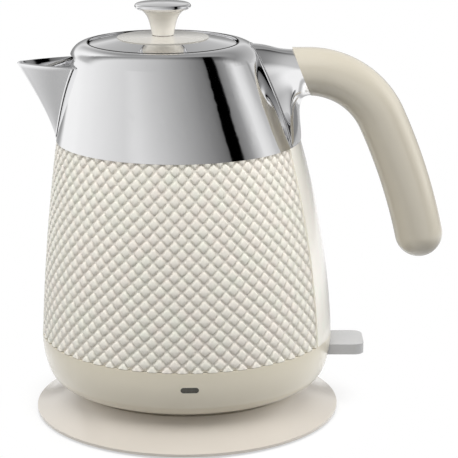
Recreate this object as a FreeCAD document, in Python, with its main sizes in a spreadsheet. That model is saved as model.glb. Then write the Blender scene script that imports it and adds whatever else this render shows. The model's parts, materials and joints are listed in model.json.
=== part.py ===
import FreeCAD, Part
import math
import os
import Sketcher

# An electric kettle on its round power stand, in millimetres, standing on z = 0.
# The spout points along -X, the handle along +X, and the lamp faces -Y.

doc = FreeCAD.newDocument("kettle")
sheet = doc.addObject("Spreadsheet::Sheet", "Sizes")


class Size:
    """A number and the sheet expression that gives it."""

    def __init__(self, value, text):
        self.value = value
        self.text = text

    def combine(self, other, sign, swap=False):
        other = as_size(other)
        first, second = (other, self) if swap else (self, other)
        results = {
            "+": lambda a, b: a + b,
            "-": lambda a, b: a - b,
            "*": lambda a, b: a * b,
            "/": lambda a, b: a / b,
        }
        value = results[sign](first.value, second.value)
        return Size(value, "(%s %s %s)" % (first.text, sign, second.text))

    def __add__(self, other):
        return self.combine(other, "+")

    def __radd__(self, other):
        return self.combine(other, "+", True)

    def __sub__(self, other):
        return self.combine(other, "-")

    def __rsub__(self, other):
        return self.combine(other, "-", True)

    def __mul__(self, other):
        return self.combine(other, "*")

    def __rmul__(self, other):
        return self.combine(other, "*", True)

    def __truediv__(self, other):
        return self.combine(other, "/")

    def __neg__(self):
        return Size(-self.value, "(-1 * %s)" % self.text)


def as_size(value):
    if isinstance(value, Size):
        return value
    return Size(float(value), "(%r)" % float(value))


def sin(angle):
    return Size(math.sin(math.radians(angle.value)), "sin(%s)" % angle.text)


def cos(angle):
    return Size(math.cos(math.radians(angle.value)), "cos(%s)" % angle.text)


SIZES = {
    # power stand
    "stand_radius": 91.6,
    "stand_foot": 1.5,
    "stand_rim": 1.6,
    "stand_slope": 21.1,
    "stand_table": 18.0,
    "stand_flare": 60.0,
    "stand_wall": 2.4,
    "stand_flange": 8.6,
    "floor_thick": 2.0,
    "pad_radius": 6.0,
    "pad_inset": 17.6,
    "stand_screw_inset": 31.6,
    "tower_radius": 17.0,
    "tower_rise": 15.0,
    "gland_radius": 5.0,
    "gland_bore": 3.2,
    "gland_height": 8.7,
    # connector and its clearances
    "slot_inner": 9.2,
    "slot_outer": 11.6,
    "pin_bore": 4.0,
    "run_gap": 0.6,
    "rest_gap": 0.3,
    "cup_wall": 2.9,
    # kettle body
    "band_lift": 2.8,
    "band_foot_inset": 14.3,
    "band_turn_rise": 6.9,
    "band_turn_inset": 4.0,
    "band_height": 28.9,
    "seam_radius": 87.3,
    "wall_height": 117.3,
    "wall_top_radius": 72.1,
    "wall_bulge": 2.55,
    "wall_lean": 4.4,
    "wall_thick": 2.5,
    "diamond_relief": 1.1,
    "pot_gap": 2.0,
    "pot_thick": 0.8,
    "panel_angle": 27.0,
    "window_half": 5.0,
    "window_rise": 10.3,
    "window_drop": 19.0,
    "plate_thick": 1.2,
    "spreader_radius": 57.0,
    "spreader_thick": 3.2,
    "element_circle": 50.0,
    "element_radius": 3.6,
    "element_gap": 52.0,
    "control_radius": 34.0,
    "steam_x": 44.0,
    "steam_y": 30.0,
    "steam_radius": 5.0,
    "lamp_x": 3.4,
    "lamp_drop": 10.0,
    "lamp_length": 10.3,
    "lamp_width": 3.3,
    # collar, spout and lid
    "collar_height": 57.5,
    "collar_core": 44.7,
    "collar_lean": 12.7,
    "collar_round": 12.0,
    "collar_slope": 18.0,
    "collar_thick": 2.0,
    "lid_lean": 13.0,
    "mouth_lip": 0.7,
    "lid_gap": 0.7,
    "lid_sink": 0.8,
    "disc_radius": 27.0,
    "disc_rise": 3.2,
    "disc_crown": 1.7,
    "knob_height": 19.2,
    "cap_radius": 16.5,
    "spout_angle": 28.0,
    "spout_nose": 3.0,
    "spout_drop": 12.5,
    "spout_reach": 98.6,
    "spout_wall": 1.6,
    # handle
    "grip_radius": 14.2,
    "grip_drop": 17.7,
    "grip_start": 72.0,
    "grip_bend": 48.0,
    "grip_bend_angle": 65.0,
    "grip_sweep": 340.0,
    "grip_end_angle": 77.5,
    "joint_top_x": 63.0,
    "joint_rise": 12.9,
    "joint_low_x": 73.8,
    "joint_drop": 14.1,
    "saddle_half": 24.7,
    # switch lever
    "lever_reach": 30.0,
    "lever_half": 14.0,
    "lever_drop": 6.9,
    "lever_thick": 6.3,
    "lever_corner": 6.0,
    "pivot_inset": 10.3,
    "pivot_radius": 1.5,
    "rocker_x": 46.0,
    "rocker_rise": 14.7,
}

for row, (alias, value) in enumerate(SIZES.items(), start=1):
    sheet.set("A%d" % row, alias)
    sheet.set("B%d" % row, str(value))
    sheet.setAlias("B%d" % row, alias)
doc.recompute()


class Sheet:
    """The driving sizes by name."""

    def __getattr__(self, name):
        return Size(SIZES[name], "Sizes." + name)


S = Sheet()
nodes = {}


def smaller(first, second):
    return Size(min(first.value, second.value), "min(%s; %s)" % (first.text, second.text))


# Radii of the stand follow from its edge
stand_table_radius = S.stand_radius - S.stand_slope
floor_radius = S.stand_radius - S.stand_flange
pad_circle = S.stand_radius - S.pad_inset
stand_screw_circle = S.stand_radius - S.stand_screw_inset

# Heights are stacked, so that a change low down lifts all that stands on it
tower_top = S.stand_table + S.tower_rise
band_foot = S.stand_table + S.band_lift
band_turn = band_foot + S.band_turn_rise
seam = band_foot + S.band_height
wall_top = seam + S.wall_height
window_low = seam + S.window_rise
window_high = wall_top - S.window_drop
lamp_height = seam - S.lamp_drop
lever_top = seam - S.lever_drop
rocker_z = band_foot + S.rocker_rise
collar_top = wall_top + S.collar_height
lid_edge = collar_top - S.lid_sink
disc_edge = lid_edge + S.disc_rise
knob_base = disc_edge + S.disc_crown
knob_top = knob_base + S.knob_height
spout_top = collar_top - S.spout_drop
grip_height = collar_top - S.grip_drop
joint_top_z = grip_height + S.joint_rise
joint_low_z = grip_height - S.joint_drop

# Radii and places that keep their clearance from what is next to them
band_foot_radius = S.seam_radius - S.band_foot_inset
band_turn_radius = S.seam_radius - S.band_turn_inset
mouth_radius = S.collar_core - S.mouth_lip
lid_radius = mouth_radius - S.lid_gap
pivot_x = smaller(S.seam_radius - S.pivot_inset, band_turn_radius + 4.0 - S.pivot_inset)
lever_tip = pivot_x + S.lever_reach


def bind(thing, path, size):
    thing.setExpression(path, as_size(size).text)


def place(thing, x=None, y=None, z=None, axis=None, turn=None):
    """Set a placement and bind each part of it that is given."""
    values = [as_size(v).value if v is not None else 0.0 for v in (x, y, z)]
    rotation = FreeCAD.Rotation()
    if axis is not None:
        rotation = FreeCAD.Rotation(FreeCAD.Vector(*axis), as_size(turn).value)
    thing.Placement = FreeCAD.Placement(FreeCAD.Vector(*values), rotation)
    for letter, size in (("x", x), ("y", y), ("z", z)):
        if size is not None:
            bind(thing, "Placement.Base." + letter, size)
    return thing


def new_body(name):
    return doc.addObject("PartDesign::Body", name)


def new_sketch(body, name, role, x=None, y=None, z=None, turn=0):
    """A sketch on one of the body's origin planes, moved by bound offsets."""
    sketch = body.newObject("Sketcher::SketchObject", name)
    plane = next(f for f in body.Origin.OriginFeatures if f.Role == role)
    sketch.AttachmentSupport = [(plane, "")]
    sketch.MapMode = "FlatFace"
    values = [as_size(v).value if v is not None else 0.0 for v in (x, y, z)]
    rotation = FreeCAD.Rotation(FreeCAD.Vector(0, 0, 1), turn)
    sketch.AttachmentOffset = FreeCAD.Placement(FreeCAD.Vector(*values), rotation)
    for letter, size in (("x", x), ("y", y), ("z", z)):
        if size is not None:
            bind(sketch, "AttachmentOffset.Base." + letter, size)
    return sketch


def pin_point(sketch, edge, end, across, up):
    """Hold one end of an edge at a bound place in the sketch."""
    for kind, size, axis in (("DistanceX", across, -2), ("DistanceY", up, -1)):
        if size.value == 0:
            sketch.addConstraint(Sketcher.Constraint("PointOnObject", edge, end, axis))
            continue
        index = sketch.addConstraint(Sketcher.Constraint(kind, -1, 1, edge, end, size.value))
        bind(sketch, "Constraints[%d]" % index, size)


def draw(sketch, points, closed=True):
    """Draw edges through the points. A third value makes the edge leading to that
    point an arc: its radius, and a fourth value gives the side (1 left, -1 right)."""
    corners = [(as_size(p[0]), as_size(p[1])) for p in points]
    spans = [(i, (i + 1) % len(points)) for i in range(len(points) if closed else len(points) - 1)]
    ends = []
    for a, b in spans:
        start = FreeCAD.Vector(corners[a][0].value, corners[a][1].value, 0)
        stop = FreeCAD.Vector(corners[b][0].value, corners[b][1].value, 0)
        if len(points[b]) == 2:
            edge = sketch.addGeometry(Part.LineSegment(start, stop), False)
            ends.append((edge, 1, 2))
            continue
        radius, side = as_size(points[b][2]), points[b][3]
        chord = stop - start
        half = chord.Length / 2
        left = FreeCAD.Vector(-chord.y, chord.x, 0).normalize()
        rise = radius.value - math.sqrt(radius.value ** 2 - half ** 2)
        middle = (start + stop) * 0.5 + left * (side * rise)
        circle = Part.Arc(start, middle, stop).toShape().Curve
        first, last = (start, stop) if side < 0 else (stop, start)
        angles = [math.atan2(p.y - circle.Center.y, p.x - circle.Center.x) for p in (first, last)]
        plain = Part.Circle(circle.Center, FreeCAD.Vector(0, 0, 1), circle.Radius)
        edge = sketch.addGeometry(Part.ArcOfCircle(plain, angles[0], angles[1]), False)
        ends.append((edge, 1, 2) if side < 0 else (edge, 2, 1))
        index = sketch.addConstraint(Sketcher.Constraint("Radius", edge, radius.value))
        bind(sketch, "Constraints[%d]" % index, radius)
    for (a, b), (edge, start, stop) in zip(spans, ends):
        pin_point(sketch, edge, start, *corners[a])
        following = ends[b] if b < len(ends) else None
        if following:
            sketch.addConstraint(Sketcher.Constraint("Coincident", edge, stop, following[0], following[1]))
        else:
            pin_point(sketch, edge, stop, *corners[b])
    return sketch


def ring(sketch, radius):
    """Draw one circle about the sketch's own origin."""
    radius = as_size(radius)
    axis = FreeCAD.Vector(0, 0, 1)
    edge = sketch.addGeometry(Part.Circle(FreeCAD.Vector(0, 0, 0), axis, radius.value), False)
    sketch.addConstraint(Sketcher.Constraint("Coincident", edge, 3, -1, 1))
    index = sketch.addConstraint(Sketcher.Constraint("Radius", edge, radius.value))
    bind(sketch, "Constraints[%d]" % index, radius)
    return sketch


def keep(name, thing):
    """Make a finished object one node of the assembly."""
    thing.Label = name
    nodes[name] = thing
    return thing


def turned(name, points, x=None):
    """A body turned about Z from its half outline in (radius, height)."""
    body = new_body(name)
    sketch = draw(new_sketch(body, name + "_outline", "XZ_Plane"), points)
    spin = body.newObject("PartDesign::Revolution", name + "_spin")
    spin.Profile = sketch
    spin.ReferenceAxis = (sketch, ["V_Axis"])
    spin.Angle = 360.0
    return place(body, x=x) if x is not None else body


def padded(name, role, points, length, offset=None, centred=False):
    """A body extruded from a closed outline on an origin plane."""
    body = new_body(name)
    sketch = draw(new_sketch(body, name + "_outline", role, z=offset), points)
    pad = body.newObject("PartDesign::Pad", name + "_pad")
    pad.Profile = sketch
    pad.Midplane = centred
    pad.Length = as_size(length).value
    bind(pad, "Length", length)
    return body


SEAM = 97  # degrees round from the handle to where a lofted surface closes on itself


def lofted(name, role, sections, straight=False):
    """A body lofted through circles given as (radius, along the plane, across, out of plane)."""
    body = new_body(name)
    rings = []
    for number, (radius, x, y, z) in enumerate(sections):
        rings.append(ring(new_sketch(body, "%s_ring%d" % (name, number), role, x, y, z, SEAM), radius))
    loft = body.newObject("PartDesign::AdditiveLoft", name + "_loft")
    loft.Profile = rings[0]
    loft.Sections = rings[1:]
    loft.Ruled = straight
    return body


def box(name, x0, x1, y0, y1, z0, z1):
    thing = doc.addObject("Part::Box", name)
    for prop, low, high in (("Length", x0, x1), ("Width", y0, y1), ("Height", z0, z1)):
        span = as_size(high) - low
        setattr(thing, prop, span.value)
        bind(thing, prop, span)
    return place(thing, as_size(x0), as_size(y0), as_size(z0))


def cylinder(name, radius, x, y, z, length, axis=None, turn=0):
    """A cylinder standing on (x, y, z), along Z or turned onto another axis."""
    thing = doc.addObject("Part::Cylinder", name)
    thing.Radius = as_size(radius).value
    thing.Height = as_size(length).value
    bind(thing, "Radius", radius)
    bind(thing, "Height", length)
    return place(thing, as_size(x), as_size(y), as_size(z), axis, turn)


def along_y(name, radius, x, y, z, length):
    return cylinder(name, radius, x, y, z, length, (1, 0, 0), -90)


def along_x(name, radius, x, y, z, length):
    return cylinder(name, radius, x, y, z, length, (0, 1, 0), 90)


def cut(name, base, *tools):
    for number, tool in enumerate(tools):
        last = number == len(tools) - 1
        result = doc.addObject("Part::Cut", name if last else "%s_less%d" % (name, number))
        result.Base = base
        result.Tool = tool
        base = result
    return base


def common(name, base, tool):
    result = doc.addObject("Part::Common", name)
    result.Base = base
    result.Tool = tool
    return result


def fuse(name, *shapes):
    result = doc.addObject("Part::MultiFuse", name)
    result.Shapes = list(shapes)
    return result


def around(circle, count, first):
    """Bound places evenly round the axis."""
    spots = []
    for number in range(count):
        angle = as_size(first + 360.0 * number / count)
        spots.append((circle * cos(angle), circle * sin(angle)))
    return spots


def screws(name, spots, z, head, head_thick, shank, length):
    """Identical screws pointing up, their heads standing on height z."""
    pieces = []
    for number, (x, y) in enumerate(spots):
        top = cylinder("%s_head%d" % (name, number), head, x, y, z, head_thick)
        socket = doc.addObject("Part::Prism", "%s_socket%d" % (name, number))
        socket.Polygon = 6
        socket.Circumradius = as_size(head * 0.5).value
        socket.Height = as_size(head_thick * 0.6).value
        bind(socket, "Circumradius", head * 0.5)
        bind(socket, "Height", head_thick * 0.6)
        place(socket, as_size(x), as_size(y), as_size(z))
        stem = cylinder("%s_stem%d" % (name, number), shank, x, y, z, length)
        pieces.append(cut("%s_%d" % (name, number), fuse("%s_blank%d" % (name, number), top, stem), socket))
    return fuse(name, *pieces)


# Power stand
under = S.stand_foot
table_under = S.stand_table - S.stand_wall
floor_top = under + S.floor_thick
tower_hole = S.tower_radius + 0.3
stand_shell = turned("stand_shell", [
    (floor_radius + 0.2, under),
    (S.stand_radius, under),
    (S.stand_radius, under + S.stand_rim),
    (stand_table_radius, S.stand_table, S.stand_flare, 1),
    (tower_hole, S.stand_table),
    (tower_hole, table_under),
    (stand_table_radius - 1.4, table_under),
    (floor_radius + 0.2, under + S.stand_rim + 1.1, S.stand_flare + S.stand_wall, -1),
])
boss_spots = around(stand_screw_circle, 4, 45.0)
bosses = [
    cylinder("stand_boss%d" % n, 3.4, x, y, floor_top, table_under - floor_top + 0.5)
    for n, (x, y) in enumerate(boss_spots)
]
boss_holes = [
    cylinder("stand_boss_hole%d" % n, 1.55, x, y, floor_top - 1, 9.5)
    for n, (x, y) in enumerate(boss_spots)
]
gland_hole = along_y("gland_hole", S.gland_radius + 0.05, 0, 70, S.gland_height, 40)
bossed_shell = fuse("stand_shell_bossed", stand_shell, *bosses)
keep("stand_cover", cut("stand_cover", bossed_shell, fuse("stand_boss_holes", *boss_holes), gland_hole))

floor_disc = cylinder("floor_disc", floor_radius, 0, 0, under, S.floor_thick)
floor_holes = []
for n, (x, y) in enumerate(boss_spots):
    floor_holes.append(cylinder("floor_bore%d" % n, 1.7, x, y, under - 1, S.floor_thick + 2))
    floor_holes.append(cylinder("floor_sink%d" % n, 3.3, x, y, under - 1, 2.0))
label_disc = cylinder("label_disc", stand_screw_circle - 15, 0, 0, under - 0.5, 1.5)
floor_plate = fuse("floor_plate", floor_disc, label_disc)
keep("stand_floor", cut("stand_floor", floor_plate, fuse("floor_hole_set", *floor_holes)))
keep("stand_screws", screws("stand_screws", boss_spots, under + 0.1, as_size(3.0), as_size(0.9), 1.5, 9.0))
pads = [
    cylinder("stand_pad%d" % n, S.pad_radius, x, y, 0, under)
    for n, (x, y) in enumerate(around(pad_circle, 4, 0.0))
]
keep("stand_feet", fuse("stand_feet", *pads))

tower_low = table_under - 3.6
slot_floor = S.stand_table - 1.0
keep("connector_tower", turned("connector_tower", [
    (S.pin_bore, tower_low),
    (S.tower_radius + 7, tower_low),
    (S.tower_radius + 7, table_under),
    (S.tower_radius, table_under),
    (S.tower_radius, tower_top),
    (S.slot_outer, tower_top),
    (S.slot_outer, slot_floor),
    (S.slot_inner, slot_floor),
    (S.slot_inner, tower_top),
    (S.pin_bore, tower_top),
]))
keep("contact_ring", turned("contact_ring", [
    (S.slot_inner + 0.1, slot_floor),
    (S.slot_outer - 0.1, slot_floor),
    (S.slot_outer - 0.1, slot_floor + 1.5),
    (S.slot_inner + 0.1, slot_floor + 1.5),
]))
keep("centre_contact", cylinder("centre_contact", S.pin_bore - 0.1, 0, 0, tower_low, 2.6))
gland_body = along_y("gland_body", S.gland_radius, 0, 75, S.gland_height, S.stand_radius - 76.5)
gland_bore = along_y("gland_bore", S.gland_bore, 0, 60, S.gland_height, 50)
keep("cord_gland", cut("cord_gland", gland_body, gland_bore))
block = box("block", -12, 12, 34, 44, floor_top, floor_top + 8)
block_bores = [
    along_y("block_bore%d" % n, 1.7, x, 30, floor_top + 4.5, 20)
    for n, x in enumerate((-8, 0, 8))
]
keep("terminal_block", cut("terminal_block", block, fuse("block_bores", *block_bores)))

# Upper connector, which lifts with the kettle
cup_inner = S.tower_radius + S.run_gap
cup_outer = cup_inner + S.cup_wall
cup_roof = tower_top + 1.2
keep("coupler_cup", turned("coupler_cup", [
    (cup_inner, S.stand_table + 2.0),
    (cup_outer, S.stand_table + 2.0),
    (cup_outer, cup_roof + 2.8),
    (S.pin_bore - 0.7, cup_roof + 2.8),
    (S.pin_bore - 0.7, cup_roof),
    (cup_inner, cup_roof),
]))
blade_inner = S.slot_inner + 0.7
blade_outer = S.slot_outer - 0.7
keep("blade_ring", turned("blade_ring", [
    (blade_inner, slot_floor + 2.1),
    (blade_outer, slot_floor + 2.1),
    (blade_outer, cup_roof),
    (blade_inner, cup_roof),
]))
pin_low = tower_low + 3.2
keep("centre_pin", cylinder("centre_pin", S.pin_bore - 0.8, 0, 0, pin_low, cup_roof + 3.8 - pin_low))

# Lower casing of the kettle
cover_top = band_foot + 2.4
cover_radius = band_foot_radius - 7.2
lip_top = cover_top + 2.4
ledge_inner = S.seam_radius - 7.0
base_cover_blank = turned("base_cover_blank", [
    (cup_outer + 1.5, band_foot),
    (cover_radius - 9.0, band_foot),
    (cover_radius - 9.0, S.stand_table + S.rest_gap),
    (cover_radius - 5.0, S.stand_table + S.rest_gap),
    (cover_radius - 5.0, band_foot),
    (cover_radius, band_foot),
    (cover_radius, cover_top),
    (cup_outer + 1.5, cover_top),
])
base_spots = around(cover_radius - 2.4, 3, 60.0)
base_holes = []
for n, (x, y) in enumerate(base_spots):
    base_holes.append(cylinder("base_bore%d" % n, 1.45, x, y, band_foot - 1, 8))
    base_holes.append(cylinder("base_sink%d" % n, 2.2, x, y, band_foot - 1, 2.1))
keep("base_cover", cut("base_cover", base_cover_blank, fuse("base_hole_set", *base_holes)))
keep("base_screws", screws(
    "base_screws", base_spots, band_foot + 0.1, as_size(2.1), as_size(0.9), 1.4, 4.5))

band_inner = S.seam_radius - S.wall_thick
band_blank = turned("band_blank", [
    (cover_radius + 0.2, band_foot),
    (band_foot_radius, band_foot),
    (band_turn_radius, band_turn, 12.0, -1),
    (S.seam_radius, seam, 50.6, -1),
    (ledge_inner, seam),
    (ledge_inner, seam - 2.4),
    (band_inner - 0.3, seam - 3.6),
    (band_turn_radius - 2.2, band_turn + 1.2, 48.0, 1),
    (band_turn_radius - 3.9, lip_top),
    (cover_radius - 5.4, lip_top),
    (cover_radius - 5.4, cover_top + 0.05),
    (cover_radius + 0.2, cover_top + 0.05),
])
lever_low = lever_top - S.lever_thick
slot_half = S.lever_half + 0.7
lever_slot = box(
    "lever_slot", pivot_x - 17, lever_tip + 13, -slot_half, slot_half, lever_low - 2.6, lever_top + 0.7)
lip_holes = [
    cylinder("lip_hole%d" % n, 1.45, x, y, band_foot, 6)
    for n, (x, y) in enumerate(base_spots)
]
board_face = smaller(
    smaller(band_foot_radius + 4.8, S.seam_radius - 9.5), band_turn_radius - 5.5)
lens_back = board_face + 2.2
front = S.seam_radius + band_turn_radius - 70


def pill_along_y(name, grow, y0, y1):
    """A flat pill through the front of the band for the lamp."""
    half = S.lamp_width / 2 + grow
    reach = S.lamp_length / 2 - S.lamp_width / 2
    left = along_y(name + "_left", half, S.lamp_x - reach, y0, lamp_height, as_size(y1) - y0)
    right = along_y(name + "_right", half, S.lamp_x + reach, y0, lamp_height, as_size(y1) - y0)
    middle = box(
        name + "_mid", S.lamp_x - reach, S.lamp_x + reach, y0, y1, lamp_height - half, lamp_height + half)
    return fuse(name, left, middle, right)


lamp_hole = pill_along_y("lamp_hole", 0.1, -front, -board_face)
keep("base_band", cut("base_band", band_blank, lever_slot, fuse("lip_holes", *lip_holes), lamp_hole))
lamp_front = turned("lamp_front", [
    (lens_back - 3.0, band_turn),
    (band_turn_radius, band_turn),
    (S.seam_radius, seam, 50.6, -1),
    (lens_back - 3.0, seam),
])
keep("lamp_lens", common("lamp_lens", pill_along_y("lamp_pill", 0.0, -front, -lens_back), lamp_front))
keep("lamp_board", box(
    "lamp_board", S.lamp_x - 9, S.lamp_x + 9, -board_face, 1.5 - board_face, lip_top, lamp_height + 5))
keep("lamp_led", along_y("lamp_led", 1.4, S.lamp_x, -board_face - 1.9, lamp_height, 1.9))

# Body wall: an oblique drum whose radius swells and whose centre leans towards the spout
STEPS = (0.0, 0.25, 0.5, 0.75, 1.0)


def wall_form(name, inset):
    """Solid drum inside the outer wall surface by the inset."""
    rings = []
    for t in STEPS:
        radius = S.seam_radius + (S.wall_top_radius - S.seam_radius) * t + S.wall_bulge * (4 * t * (1 - t))
        rings.append((radius - inset, -S.wall_lean * (t * t), None, seam + (wall_top - seam) * t))
    return lofted(name, "XY_Plane", rings)


pot_outside = S.wall_thick + S.pot_gap
pot_inside = pot_outside + S.pot_thick
skin = cut("skin", wall_form("skin_out", 0), wall_form("skin_in", S.wall_thick))


def sector(name, half_angle):
    """A slice of the body to either side of the handle plane."""
    thing = doc.addObject("Part::Cylinder", name)
    thing.Radius = 160
    thing.Height = 200
    thing.Angle = (half_angle * 2).value
    bind(thing, "Angle", half_angle * 2)
    bind(thing, "Radius", S.seam_radius + 70)
    bind(thing, "Height", wall_top + 40)
    turn = FreeCAD.Rotation(FreeCAD.Vector(0, 0, 1), -half_angle.value)
    thing.Placement = FreeCAD.Placement(FreeCAD.Vector(), turn)
    bind(thing, "Placement.Rotation.Angle", -half_angle)
    return thing


def upright_slot(name, grow, x0=40, x1=120):
    """A tall round-ended slot through the back of the body, wider than the window all round."""
    half = S.window_half + grow
    low = window_low + S.window_half
    high = window_high - S.window_half
    foot = along_x(name + "_foot", half, x0, 0, low, as_size(x1) - x0)
    head = along_x(name + "_head", half, x0, 0, high, as_size(x1) - x0)
    middle = box(name + "_mid", x0, x1, -half, half, low, high)
    return fuse(name, foot, middle, head)


# The wall is moulded all over in raised diamonds, in staggered rows that end in half diamonds
DIAMOND_COLUMNS = 53
DIAMOND_ROWS = 14


def number(size):
    """What the sheet gives for a size."""
    return float(sheet.evalExpression(size.text))


def diamond_wall(name):
    """The wall from one edge of the rear panel round to the other: four flat triangles to a diamond."""
    low, high = number(seam), number(wall_top)
    foot, head = number(S.seam_radius), number(S.wall_top_radius)
    bulge, lean = number(S.wall_bulge), number(S.wall_lean)
    thick, relief = number(S.wall_thick), number(S.diamond_relief)
    edge = number(S.panel_angle)
    columns, rows = 2 * DIAMOND_COLUMNS, 2 * DIAMOND_ROWS
    points, facets = [], []

    def spot(column, row, inset, spread=1.0):
        """Add a point inside the wall's face by the inset, counted in half columns and half rows."""
        t = row / rows
        angle = math.radians(edge + (360 - 2 * edge) * column / columns)
        radius = (foot + (head - foot) * t + bulge * 4 * t * (1 - t) - inset) * spread
        centre = -lean * t * t
        reach = centre * math.cos(angle) + math.sqrt(radius ** 2 - (centre * math.sin(angle)) ** 2)
        points.append((reach * math.cos(angle), reach * math.sin(angle), low + (high - low) * t))
        return len(points) - 1

    def fill(first, second):
        """Triangles between two lines of points."""
        a = b = 0
        while a + b < len(first) + len(second) - 2:
            if b == len(second) - 1 or (a + 1) * (len(second) - 1) <= (b + 1) * (len(first) - 1):
                facets.append((first[a], first[a + 1], second[b]))
                a += 1
            else:
                facets.append((first[a], second[b + 1], second[b]))
                b += 1

    # The middle of a diamond stands on the wall's face, and its four corners lie below it
    face = [[spot(i, j, relief * ((i + j) % 2)) for i in range(columns + 1)] for j in range(rows + 1)]
    for j in range(rows):
        for i in range(columns):
            a, b, c, d = face[j][i], face[j][i + 1], face[j + 1][i + 1], face[j + 1][i]
            facets.extend([(a, b, c), (a, c, d)] if (i + j) % 2 else [(a, b, d), (b, c, d)])
    # Flats of the inside touch the round of the wall's thickness
    spread = 1 / math.cos(math.radians((180 - edge) / DIAMOND_COLUMNS))
    levels = range(0, rows + 1, rows // 4)
    inside = [[spot(i, j, thick, spread) for i in range(0, columns + 1, 2)] for j in levels]
    for under, over in zip(inside, inside[1:]):
        fill(over, under)
    fill(inside[0], face[0])
    fill(face[-1], inside[-1])
    fill([line[0] for line in face], [line[0] for line in inside])
    fill([line[-1] for line in inside], [line[-1] for line in face])
    shape = Part.Shape()
    shape.makeShapeFromMesh(([FreeCAD.Vector(*p) for p in points], facets), 0.001, False)
    wall = doc.addObject("Part::Feature", name)
    wall.Shape = Part.Solid(Part.Shell(shape.Faces)).removeSplitter()
    return wall


keep("outer_wall", diamond_wall("outer_wall"))
panel_blank = common("panel_blank", skin, sector("panel_sector", S.panel_angle - 0.2))
keep("rear_panel", cut("rear_panel", panel_blank, upright_slot("panel_slot", 0.1)))
window_form = cut("window_form", wall_form("window_out", 0.3), wall_form("window_in", pot_inside))
keep("water_window", common("water_window", window_form, upright_slot("window_slot", 0)))
gap_form = cut("gap_form", wall_form("gap_out", S.wall_thick + 0.1), wall_form("gap_in", pot_outside - 0.1))
gasket_blank = common("gasket_blank", gap_form, upright_slot("gasket_outside", 3))
keep("window_gasket", cut("window_gasket", gasket_blank, upright_slot("gasket_hole", 0.1)))

pot_tube = cut("pot_tube", wall_form("pot_out", pot_outside), wall_form("pot_in", pot_inside))
flange_inner = S.wall_top_radius - pot_inside
flange_outer = S.wall_top_radius - S.wall_thick - 0.2
pot_flange = turned("pot_flange", [
    (flange_inner, wall_top - 1.2),
    (flange_outer, wall_top - 1.2),
    (flange_outer, wall_top),
    (flange_inner, wall_top),
], -S.wall_lean)
keep("inner_pot", cut("inner_pot", fuse("pot_blank", pot_tube, pot_flange), upright_slot("pot_slot", 0.1)))

plate_radius = S.seam_radius - pot_inside - 0.2
plate_top = seam + S.plate_thick
plate_disc = cylinder("plate_disc", plate_radius, 0, 0, seam, S.plate_thick)
plate_hole = cylinder("plate_hole", S.steam_radius + 0.1, S.steam_x, S.steam_y, seam - 5, 20)
keep("heating_plate", cut("heating_plate", plate_disc, plate_hole))
keep("pot_seal", turned("pot_seal", [
    (plate_radius - 1.8, plate_top),
    (plate_radius - 0.2, plate_top),
    (plate_radius - 0.2, plate_top + 1.8),
    (plate_radius - 1.8, plate_top + 1.2),
]))
spreader_low = seam - S.spreader_thick
control_spots = around(S.control_radius + 3.2, 3, 90.0)
spreader_disc = cylinder("spreader_disc", S.spreader_radius, 0, 0, spreader_low, S.spreader_thick)
spreader_holes = [
    cylinder("spreader_steam", S.steam_radius + 0.4, S.steam_x, S.steam_y, spreader_low - 5, 20)
]
for n, (x, y) in enumerate(control_spots):
    spreader_holes.append(cylinder("spreader_tap%d" % n, 1.55, x, y, spreader_low - 1, 3.4))
keep("heat_spreader", cut("heat_spreader", spreader_disc, fuse("spreader_holes", *spreader_holes)))

element = doc.addObject("Part::Torus", "element")
element.Radius1 = S.element_circle.value
element.Radius2 = S.element_radius.value
element.Angle3 = 360 - 2 * S.element_gap.value
bind(element, "Radius1", S.element_circle)
bind(element, "Radius2", S.element_radius)
bind(element, "Angle3", 360 - 2 * S.element_gap)
place(element, z=spreader_low - S.element_radius, axis=(0, 0, 1), turn=S.element_gap)
bind(element, "Placement.Rotation.Angle", S.element_gap)
tails = []
for n, side in enumerate((-1, 1)):
    x, y = S.element_circle * cos(S.element_gap + 3), S.element_circle * sin(S.element_gap + 3) * side
    tails.append(cylinder("element_tail%d" % n, 1.6, x, y, spreader_low - S.element_radius - 8, 8))
keep("heating_element", fuse("heating_element", element, *tails))

# Control under the plate, with the trip rocker in its lugs
control_low = lip_top + 0.4
control_roof = cup_roof + 5.4
control_top = control_roof + 2.0
control_ring = turned("control_ring", [
    (cup_outer + S.run_gap, control_low),
    (S.control_radius, control_low),
    (S.control_radius, control_roof),
    (S.control_radius + 7.4, control_roof),
    (S.control_radius + 7.4, control_top),
    (0, control_top),
    (0, control_roof),
    (cup_outer + S.run_gap, control_roof),
])
control_posts = [
    cylinder("control_post%d" % n, 3.6, x, y, control_top - 0.5, spreader_low - control_top + 0.5)
    for n, (x, y) in enumerate(control_spots)
]
disc_posts = [
    cylinder("disc_post%d" % n, 2.0, x, 0, control_top - 0.5, spreader_low - control_top - 0.3)
    for n, x in enumerate((-14, 14))
]
rocker_half = 4.0
lugs = []
for n, side in enumerate((-1, 1)):
    near, far = sorted((side * (rocker_half + 0.8), side * (rocker_half + 4.0)))
    lugs.append(box(
        "rocker_lug%d" % n, S.control_radius - 4, S.rocker_x + 3, near, far, rocker_z - 3, rocker_z + 3))
control_holes = [
    cylinder("control_bore%d" % n, 1.6, x, y, control_roof - 1, 14)
    for n, (x, y) in enumerate(control_spots)
]
pin_hole = along_y("rocker_hole", 1.46, S.rocker_x, -20, rocker_z, 40)
control_blank = fuse("control_blank", control_ring, *control_posts, *disc_posts, *lugs)
keep("control_body", cut("control_body", control_blank, fuse("control_bores", *control_holes), pin_hole))
keep("control_screws", screws(
    "control_screws", control_spots, control_roof - 1.8, as_size(2.8), as_size(1.8), 1.5, 10.0))
discs = [
    cylinder("snap_disc%d" % n, 6.5, x, 0, spreader_low - 0.8, 0.6)
    for n, x in enumerate((-14, 14))
]
keep("snap_discs", fuse("snap_discs", *discs))
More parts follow.
